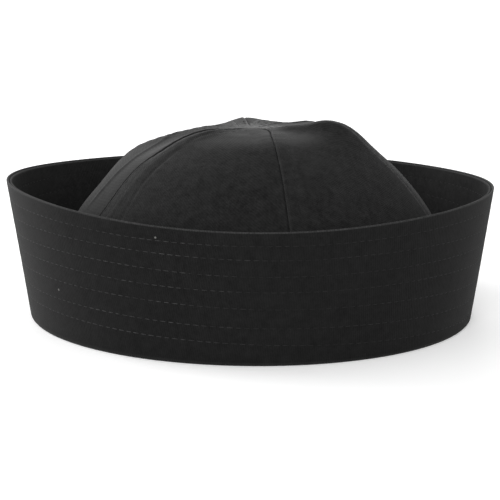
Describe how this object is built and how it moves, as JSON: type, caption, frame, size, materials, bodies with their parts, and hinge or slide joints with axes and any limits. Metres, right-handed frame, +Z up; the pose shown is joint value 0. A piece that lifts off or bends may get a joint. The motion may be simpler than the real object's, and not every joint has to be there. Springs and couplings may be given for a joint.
{
  "type": "sailor cap",
  "caption": "Black cotton sailor cap: a round gored crown inside a deep, flaring, turned-up brim with rows of stitching, open below for the head.",
  "frame": {"origin": "middle of the base, on the surface that the fold of the brim rests on", "axes": "+Z up through the crown, -Y towards the front of the hat as pictured, +X towards the right of the picture"},
  "size_m": [0.2168, 0.214, 0.088],
  "materials": {
    "crown_twill": "matt black cotton twill",
    "brim_twill": "matt black cotton twill",
    "brim_lining_twill": "matt black cotton twill"
  },
  "bodies": {
    "root": {"crown_gore_front_right": "crown_twill", "crown_gore_right": "crown_twill", "crown_gore_back_right": "crown_twill", "crown_gore_back_left": "crown_twill", "crown_gore_left": "crown_twill", "crown_gore_front": "crown_twill", "brim_outer_ply": "brim_twill", "brim_inner_ply": "brim_lining_twill"}
  },
  "joints": []
}
